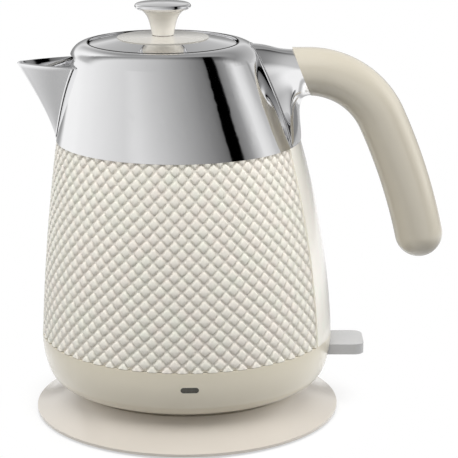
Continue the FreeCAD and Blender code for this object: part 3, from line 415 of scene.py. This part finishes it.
def clear_selection():
    bpy.ops.object.select_all(action="DESELECT")


def edit():
    bpy.ops.object.mode_set(mode="EDIT")


def leave_edit():
    bpy.ops.object.mode_set(mode="OBJECT")


def select_mesh():
    bpy.ops.mesh.select_all(action="SELECT")


def pick(piece, kind, test):
    """Select the mesh's vertices, edges or faces that pass the test."""
    mesh = bmesh.from_edit_mesh(piece.data)
    bpy.ops.mesh.select_all(action="DESELECT")
    modes = {"verts": "VERT", "edges": "EDGE", "faces": "FACE"}
    bpy.ops.mesh.select_mode(type=modes[kind])
    for part in getattr(mesh, kind):
        part.select_set(test(part))
    mesh.select_flush_mode()
    bmesh.update_edit_mesh(piece.data)


def apply(piece, kind, **settings):
    """Add a modifier and apply it."""
    modifier = piece.modifiers.new(kind.lower(), kind)
    for name, value in settings.items():
        setattr(modifier, name, value)
    bpy.context.view_layer.objects.active = piece
    bpy.ops.object.modifier_apply(modifier=modifier.name)


def dress(piece, finish):
    """Give the piece one finish all over."""
    piece.data.materials.clear()
    piece.data.materials.append(FINISHES[finish])


def finish_piece(piece, body, slot, crease, stands_for=()):
    """Put the piece's place in its mesh, shade it and tie it to the frame."""
    clear_selection()
    piece.select_set(True)
    bpy.context.view_layer.objects.active = piece
    bpy.ops.object.transform_apply(location=True, rotation=True, scale=True)
    bpy.ops.object.shade_smooth_by_angle(angle=math.radians(crease))
    dress(piece, slot)
    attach(piece, body)
    if stands_for:
        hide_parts(*stands_for)
    clear_selection()


def formed_sheet(name, columns, rows, form):
    """A grid formed point by point and left in edit mode: across runs from -1 to 1, up from 0 to 1."""
    clear_selection()
    bpy.ops.mesh.primitive_grid_add(x_subdivisions=columns, y_subdivisions=rows, size=2.0)
    piece = bpy.context.object
    piece.name = name
    edit()
    mesh = bmesh.from_edit_mesh(piece.data)
    for vertex in mesh.verts:
        across, up = vertex.co.x, (vertex.co.y + 1) / 2
        vertex.co = form(across, up)
    bmesh.update_edit_mesh(piece.data)
    return piece


def round_rod(name, slot, points, radius, closed=False):
    """A trim of even thickness along a smooth line of points, made a mesh."""
    clear_selection()
    bpy.ops.curve.primitive_nurbs_path_add()
    piece = bpy.context.object
    piece.name = name
    line = piece.data.splines[0]
    line.points.add(len(points) - len(line.points))
    for knot, place in zip(line.points, points):
        knot.co = (*place, 1.0)
    line.order_u = 3
    line.use_endpoint_u = not closed
    line.use_cyclic_u = closed
    piece.data.bevel_depth = radius * MM
    piece.data.bevel_resolution = ROD_ROUNDING
    piece.data.use_fill_caps = True
    bpy.ops.object.convert(target="MESH")
    finish_piece(piece, "kettle", slot, TRIM_CREASE)


# Body wall

def wall_ring(z):
    """Radius and centre of the leaning body wall at a height."""
    t = (z - SEAM) / (WALL_TOP - SEAM)
    radius = SEAM_RADIUS + (WALL_TOP_RADIUS - SEAM_RADIUS) * t + WALL_BULGE * 4 * t * (1 - t)
    return radius, -WALL_LEAN * t * t


def groove_point(angle, z):
    """A point of the wall at the depth of its grooves, at an angle about the upright axis from the back."""
    radius, centre = wall_ring(z)
    aside = centre * math.sin(angle)
    reach = centre * math.cos(angle) + math.sqrt((radius - DIAMOND_RELIEF) ** 2 - aside ** 2)
    return reach * math.cos(angle) * MM, reach * math.sin(angle) * MM, z * MM


def patterned_wall():
    """The body wall with its rows of raised diamonds, open behind for the smooth panel."""
    pitch = (WALL_TOP - SEAM) / DIAMOND_ROWS
    rows = DIAMOND_ROWS + 1

    def crossing(across, up):
        angle = PANEL_ANGLE + (360 - 2 * PANEL_ANGLE) * (across + 1) / 2
        return groove_point(math.radians(angle), SEAM + pitch * (rows * up - 0.5))

    piece = formed_sheet("patterned_wall", DIAMOND_COLUMNS, rows, crossing)
    # The squares of the grid become diamonds: each is poked and its old sides are dissolved
    mesh = bmesh.from_edit_mesh(piece.data)
    corners = len(mesh.verts)
    select_mesh()
    bpy.ops.mesh.poke()
    pick(piece, "edges", lambda e: (
        not e.is_boundary and all(v.index < corners for v in e.verts)))
    bpy.ops.mesh.dissolve_edges(use_verts=False, use_face_split=False)
    select_mesh()
    bpy.ops.mesh.normals_make_consistent(inside=False)
    # Their corners are cut where the grooves cross, and the pads rise from the grooves in steps
    pick(piece, "verts", lambda v: not v.is_boundary)
    bpy.ops.mesh.bevel(offset=DIAMOND_CORNER * MM, affect="VERTICES", segments=1)
    pick(piece, "faces", lambda f: f.calc_area() > CROSSING_AREA * MM * MM)
    for inward, outward in DIAMOND_STEPS:
        bpy.ops.mesh.inset(
            thickness=inward * MM, depth=outward * MM, use_individual=True, use_boundary=True)
    bpy.ops.mesh.poke(offset=DIAMOND_CROWN * MM)
    for z, upward in ((SEAM + SEAM_GAP, 1), (WALL_TOP, -1)):
        select_mesh()
        bpy.ops.mesh.bisect(
            plane_co=(0, 0, z * MM), plane_no=(0, 0, upward), clear_inner=True, use_fill=False)
    leave_edit()
    finish_piece(piece, "kettle", "textured_plastic", WALL_CREASE, ["outer_wall"])


# Collar and spout

def collar_ring(z):
    """Radius and centre of the leaning collar at a height, round its shoulder too."""
    centre = -WALL_LEAN - (COLLAR_LEAN - WALL_LEAN) * (z - WALL_TOP) / (COLLAR_TOP - WALL_TOP)
    if z > SHOULDER:
        rise = min((z - COLLAR_TOP) / SHOULDER_BEND + 1, 1)
        return COLLAR_CORE + SHOULDER_BEND * math.sqrt(1 - rise ** 2), centre
    share = (z - WALL_TOP) / (SHOULDER - WALL_TOP)
    return WALL_TOP_RADIUS + (SHOULDER_RADIUS - WALL_TOP_RADIUS) * share, centre


def keel(z):
    """How far forward the spout's edge stands at a height, on a smooth line through known points."""
    share = (z - WALL_TOP) / (SPOUT_TOP - WALL_TOP)
    reach = 0.0
    for height, forward in SPOUT_KEEL:
        for other in dict(SPOUT_KEEL):
            if other != height:
                forward *= (share - other) / (height - other)
        reach += forward
    return -SPOUT_ROOT - (SPOUT_TIP - SPOUT_ROOT) * reach


def spout_nose(z):
    """Radius of the spout's nose, rounder towards the rim."""
    return NOSE_RADIUS + NOSE_GROWTH * (z - WALL_TOP) / (SPOUT_TOP - WALL_TOP)


def spout_run(z, sunk):
    """Where the spout's flank leaves its nose at a height, and its length to a little inside the collar."""
    radius, centre = collar_ring(z)
    start_x = keel(z) + spout_nose(z) * (1 - math.sin(SPOUT_ANGLE))
    start_y = spout_nose(z) * math.cos(SPOUT_ANGLE)
    run = 0.0
    while math.hypot(start_x + run * math.cos(SPOUT_ANGLE) - centre,
                     start_y + run * math.sin(SPOUT_ANGLE)) > radius - sunk and run < LONGEST_RUN:
        run += RUN_STEP
    return start_x, start_y, run


def spout_point(z, share, sunk):
    """A point of the spout's outside: share -1 and 1 at the collar, 0 at the nose."""
    start_x, start_y, run = spout_run(z, sunk)
    side = 1 if share >= 0 else -1
    if abs(share) < NOSE_SHARE:
        turn = (math.pi / 2 - SPOUT_ANGLE) * abs(share) / NOSE_SHARE
        x = keel(z) + spout_nose(z) * (1 - math.cos(turn))
        y = spout_nose(z) * math.sin(turn)
    else:
        part = (abs(share) - NOSE_SHARE) / (1 - NOSE_SHARE)
        swell = 4 * SPOUT_SWELL * part * (1 - part) * run / SWELL_RUN
        x = start_x + run * part * math.cos(SPOUT_ANGLE) - swell * math.sin(SPOUT_ANGLE)
        y = start_y + run * part * math.sin(SPOUT_ANGLE) + swell * math.cos(SPOUT_ANGLE)
    return x * MM, side * y * MM, z * MM


def pouring_spout():
    """The V-shaped spout: thin walls that bend round its nose, with a softened rim."""
    piece = formed_sheet("pouring_spout", SPOUT_COLUMNS, SPOUT_ROWS, lambda across, up: spout_point(
        SPOUT_FOOT + (SPOUT_TOP - SPOUT_FOOT) * up, across, SPOUT_LET_IN))
    select_mesh()
    bpy.ops.mesh.remove_doubles(threshold=MERGE_DISTANCE * MM)
    leave_edit()
    nose = min(piece.data.polygons, key=lambda face: face.center.x)
    if nose.normal.x > 0:
        edit()
        select_mesh()
        bpy.ops.mesh.flip_normals()
        leave_edit()
    apply(piece, "SOLIDIFY", thickness=SPOUT_WALL * MM, offset=-1.0)
    apply(piece, "BEVEL", width=SPOUT_RIM * MM, segments=3, limit_method="ANGLE",
          angle_limit=math.radians(RIM_ANGLE))
    finish_piece(piece, "kettle", "chrome", SPOUT_CREASE, ["spout"])


def spout_edge(z, side, aside):
    """A point of the collar's face beside the spout, measured round the collar from the joint."""
    x, y, height = spout_point(z, side, 0.0)
    radius, centre = collar_ring(z)
    angle = math.atan2(y / MM, x / MM - centre) - side * aside / radius
    return (centre + radius * math.cos(angle)) * MM, radius * math.sin(angle) * MM, height


def spout_trim():
    """The rolled bead where the spout is let into the collar, and beside it a dark rod that is painted
    shade for the gap of the joint.
    """
    heights = [
        SPOUT_TRIM_FOOT + SPOUT_TRIM_HEIGHT * n / SPOUT_TRIM_SPANS for n in range(SPOUT_TRIM_SPANS + 1)]
    for name, slot, radius, aside in SPOUT_TRIM:
        points = [spout_edge(z, -1, aside) for z in reversed(heights)]
        points += [spout_edge(z, 1, aside) for z in heights]
        round_rod(name, slot, points, radius)


# Handle casting

def collar_back(z, y, proud=0.0):
    """A point of the back of the collar's face."""
    radius, centre = collar_ring(z)
    return Vector((centre + math.sqrt((radius + proud) ** 2 - y ** 2), y, z))


def casting_edge(share, side):
    """A point of the casting's edge on the collar: share 0 at the body wall, 1 at the tip."""
    last = len(CASTING_EDGE) - 1
    low = min(int(share * last), last - 1)
    part = share * last - low
    knots = [Vector(CASTING_EDGE[min(max(low + n, 0), last)]) for n in (-1, 0, 1, 2)]
    if low == last - 1:
        knots[3] = Vector((knots[1].x, -knots[1].y))
    bends = [(knots[2] - knots[0]) / 2, (knots[3] - knots[1]) / 2]
    z, y = (knots[1] * (1 + 2 * part) * (1 - part) ** 2 + bends[0] * part * (1 - part) ** 2
            + knots[2] * part ** 2 * (3 - 2 * part) + bends[1] * part ** 2 * (part - 1))
    return collar_back(min(z, CASTING_LIMIT), side * y)


def casting_point(turn, along):
    """A point of the casting, with along 0 at the collar and 1 at the grip.

    Turn runs round it: -1 and 1 at its foot, 0 at its tip.
    """
    side = 1 if turn > 0 else -1
    lift = 1 - abs(turn)
    if lift < FOOT_SHARE:
        part = lift / FOOT_SHARE
        height, half_width = CASTING_EDGE[0]
        start = collar_back(height, side * half_width * part, FOOT_PROUD * (1 - part))
        leave = Vector((0, 0, 1))
    else:
        share = (lift - FOOT_SHARE) / (1 - FOOT_SHARE)
        start = casting_edge(share, side)
        back = min(share * LEAVE_RATE, 1.0)
        inward = Vector((abs(start.y), -side * start.x, 0)).normalized()
        leave = LEAVE_UP * (1 - back) + (LEAVE_BACK + inward * LEAVE_INWARD) * back
        leave.normalize()
    angle = math.pi * (lift - 0.5)
    width = Vector((0, side * GRIP_HALF_WIDTH * math.cos(angle), 0))
    end = GRIP_CENTRE + GRIP_HALF_HEIGHT * math.sin(angle) + width
    length = (end - start).length
    bend_out = start + leave * length * BEND_OUT
    bend_in = end - Vector((length * BEND_IN, end.y * BEND_NARROWS, 0))
    rest = 1 - along
    return (start * rest ** 3 + bend_out * 3 * along * rest ** 2
            + bend_in * 3 * along ** 2 * rest + end * along ** 3)


def casting_form(turn, up):
    """A point of the closed casting: up 0 inside the collar, 1 inside the grip."""
    step = round(up * CASTING_STEPS)
    if step < CLOSING_STEPS:
        root = casting_point(turn, 0.0)
        return collar_back(root.z, root.y * step / CLOSING_STEPS, -CASTING_LET_IN) * MM
    if step == CASTING_STEPS:
        return GRIP_CENTRE * MM
    return casting_point(turn, (step - CLOSING_STEPS) / (CASTING_STEPS - CLOSING_STEPS - 1)) * MM


def handle_casting():
    """The polished casting that carries the handle, drawn in one flow from the collar to the grip."""
    piece = formed_sheet("handle_casting", CASTING_COLUMNS, CASTING_STEPS, casting_form)
    select_mesh()
    bpy.ops.mesh.remove_doubles(threshold=MERGE_DISTANCE * MM)
    bpy.ops.mesh.normals_make_consistent(inside=False)
    leave_edit()
    finish_piece(piece, "kettle", "chrome", CASTING_CREASE, ["handle_saddle"])


def casting_trim():
    """The bead of the casting's edge, and beside it on the collar a dark rod as painted shade for the
    groove of the joint, and a bead.
    """
    shares = [n / CASTING_TRIM_SPANS for n in range(CASTING_TRIM_SPANS)]
    edges = [(casting_edge(share, -1), -1) for share in shares]
    edges += [(casting_edge(share, 1), 1) for share in reversed(shares)]
    for name, slot, radius, aside in CASTING_TRIM:
        points = [collar_back(edge.z, edge.y + side * aside) * MM for edge, side in edges]
        round_rod(name, slot, points, radius)


def lid_gap_shade():
    """A thin dark ring on the lip of the mouth, round the lid: painted shade for the open gap between the
    lid and the mouth.
    """
    points = []
    for n in range(LID_JOINT_POINTS):
        turn = 2 * math.pi * n / LID_JOINT_POINTS
        x, y = MOUTH_RING * math.cos(turn) - LID_LEAN, MOUTH_RING * math.sin(turn)
        points.append((x * MM, y * MM, COLLAR_TOP * MM))
    round_rod("lid_gap_shade", "rubber", points, LID_JOINT_RADIUS, closed=True)


patterned_wall()
pouring_spout()
spout_trim()
handle_casting()
casting_trim()
lid_gap_shade()

# The solids that stay take their finish from their slot in the record, or have their own
for subpart in frame["record"]["subparts"]:
    solid = subpart["node"]
    dress(nodes[solid], OWN_FINISH.get(solid, subpart["material_slot"]))


# Camera, floor and light, in metres

CAMERA_PLACE = (0.02553, -1.05256, 0.39058)
CAMERA_PITCH = 75.128
CAMERA_LENS = 142.63
CAMERA_SENSOR = 36.0
CAMERA_CLIP = 0.05

# Floor: where it turns white to the camera, and white or darker in reflections, out from the stand's axis
FLOOR_SIZE = 40.0
SEEN_WHITE = (0.055, 0.118)
MIRROR_WHITE = (0.28, 0.46)
MIRROR_FRONT = (0.5, 0.0)
MIRROR_NEAR = (0.85, 0.7)
MIRROR_DARKER = (0.14, 0.24)

# Greys of the floor: to the camera, to light that spreads from it, and mirrored close by and further out
SEEN_GREY = 240
SPREAD_GREY = 132
MIRROR_GREYS = (232, 161)

# Softboxes: place, width, height and power
LAMP_TARGET = (0, 0, 0.12)
LAMPS = {
    "left_box": ((-1.1, 0.0, 0.45), 0.9, 0.8, 5.0),
    "right_box": ((1.1, 0.15, 0.45), 0.9, 0.8, 8.5),
    "top_box": ((0.0, -0.45, 0.85), 0.6, 0.4, 5.0),
    "back_box": ((0.2, 1.2, 0.5), 1.2, 0.7, 5.0),
}

# The room that metal mirrors: how light it is at each bearing, and the walls behind at each height
ROOM_CENTRE = 0.98
ROOM = (
    (-180, 1.0), (-115, 1.0), (-95, 0.92), (-60, 0.77), (-34, 0.67), (-7, 0.54), (20, 0.37), (46, 0.19),
    (50.5, 0.14), (52, 0.0), (64.5, 0.0), (66.5, 0.2), (76, 0.32), (90, 0.85), (103, 1.0), (115, 0.9),
    (119, 0.1), (136, 0.1), (146, 0.7), (180, 1.0),
)
NEAR_WALL = (
    (0.0, 1.0), (0.12, 0.95), (0.28, 0.55), (0.45, 0.45), (0.62, 0.3), (0.8, 0.35), (0.93, 0.5), (1.0, 0.6),
)
FAR_WALL = (
    (0.0, 0.3), (0.1, 0.35), (0.2, 0.75), (0.3, 0.55), (0.45, 0.45), (0.62, 0.3), (0.8, 0.35), (1.0, 0.6),
)
LEFT_WALL = ((0.0, 0.3), (0.08, 0.35), (0.16, 1.0), (1.0, 1.0))
TENT = ((0.0, 0.2), (0.3, 0.3), (0.8, 0.8))

# Where these parts of the room start and end, on the axis of the direction that each goes by
BEHIND = (0.05, 0.4)
OVERHEAD = (0.42, 0.55)
LEFTWARD = (-0.2, -0.55)
INNER = (-0.75, -0.6)
LOW = (0.45, 0.1)
AHEAD = (-0.6, -0.8)


def aim_camera():
    bpy.ops.object.camera_add(location=CAMERA_PLACE, rotation=(math.radians(CAMERA_PITCH), 0, 0))
    camera = bpy.context.object
    camera.data.lens = CAMERA_LENS
    camera.data.sensor_width = CAMERA_SENSOR
    camera.data.clip_start = CAMERA_CLIP
    bpy.context.scene.camera = camera


def pale_floor():
    """A wide floor that is white to the camera and keeps the shadow."""
    clear_selection()
    bpy.ops.mesh.primitive_plane_add(size=FLOOR_SIZE, location=(0, 0, 0))
    floor = bpy.context.object
    floor.name = "floor"
    finish = Finish("floor_white")
    finish.set(Roughness=0.9, Specular_IOR_Level=0.1)
    wire = finish.wire
    away = wire.node("ShaderNodeVectorMath", {"operation": "LENGTH"}, {0: finish.place}, "Value")
    aside, depth = [wire.node("ShaderNodeSeparateXYZ", {}, {0: finish.place}, axis) for axis in "XY"]
    seen = wire.node("ShaderNodeLightPath", output="Is Camera Ray")
    mirrored = wire.node("ShaderNodeLightPath", output="Is Glossy Ray")
    close_grey, far_grey = MIRROR_GREYS
    reflected = away.rise(*MIRROR_DARKER).blend(grey(close_grey), grey(far_grey))
    unseen = mirrored.blend(grey(SPREAD_GREY), reflected)
    finish.set(Base_Color=seen.blend(unseen, grey(SEEN_GREY)))
    mirror_white = away.rise(*MIRROR_WHITE)
    reach = (depth + aside).rise(*MIRROR_FRONT).greater(away.rise(*MIRROR_NEAR))
    bleached = (seen * away.rise(*SEEN_WHITE)).greater(mirrored * mirror_white * reach)
    white = wire.node("ShaderNodeEmission", {}, {"Color": WHITE, "Strength": 1.0})
    lit = Wire(finish.tree, finish.shader.outputs[0])
    surface = wire.node("ShaderNodeMixShader", {}, {0: bleached, 1: lit, 2: white})
    finish.tree.links.new(surface.socket, finish.tree.nodes["Material Output"].inputs["Surface"])
    floor.data.materials.append(finish.material)


def softbox(name, place, width, height, power):
    """A soft lamp that faces the object and isn't mirrored in it."""
    clear_selection()
    bpy.ops.object.light_add(type="AREA", location=place)
    lamp = bpy.context.object
    lamp.name = name
    lamp.data.shape = "RECTANGLE"
    lamp.data.size = width
    lamp.data.size_y = height
    lamp.data.energy = power
    x, y, z = [target - start for target, start in zip(LAMP_TARGET, place)]
    lamp.rotation_euler = (math.atan2(math.hypot(x, y), -z), 0, math.atan2(y, x) - math.pi / 2)
    lamp.visible_glossy = False


def studio_room():
    """Plain room light, with a graded room for metal to mirror and white behind it all."""
    world = bpy.data.worlds.new("studio")
    bpy.context.scene.world = world
    world.use_nodes = True
    tree = world.node_tree
    tree.nodes.clear()
    wire = Wire(tree)
    direction = wire.node("ShaderNodeTexCoord", output="Generated")
    right, back, up = [wire.node("ShaderNodeSeparateXYZ", {}, {0: direction}, axis) for axis in "XYZ"]
    bearing = wire.maths("ARCTAN2", right, ROOM_CENTRE - back) / math.pi + 0.5
    walls = bearing.greys([((angle + 180) / 360, level) for angle, level in ROOM])
    mirrored = back.rise(*BEHIND).blend(walls, walls.darkened(up.greys(NEAR_WALL)))
    overhead = back.rise(*OVERHEAD) * right.rise(*INNER)
    rear = right.rise(*LEFTWARD).blend(up.greys(FAR_WALL), up.greys(LEFT_WALL))
    mirrored = overhead.blend(mirrored, rear)
    mirrored = (up.rise(*LOW) * back.rise(*AHEAD)).blend(mirrored, WHITE)
    camera_ray, through_ray, spread_ray = [
        wire.node("ShaderNodeLightPath", output=f"Is {kind} Ray")
        for kind in ("Camera", "Transmission", "Diffuse")]
    room_light = spread_ray.blend(mirrored, up.greys(TENT))
    seen = camera_ray.greater(through_ray).blend(room_light, WHITE)
    light = wire.node("ShaderNodeBackground", {}, {"Color": seen, "Strength": 1.0})
    output = tree.nodes.new("ShaderNodeOutputWorld")
    tree.links.new(light.socket, output.inputs["Surface"])


aim_camera()
pale_floor()
for lamp_name, setting in LAMPS.items():
    softbox(lamp_name, *setting)
studio_room()

view = bpy.context.scene.view_settings
view.view_transform = "Standard"
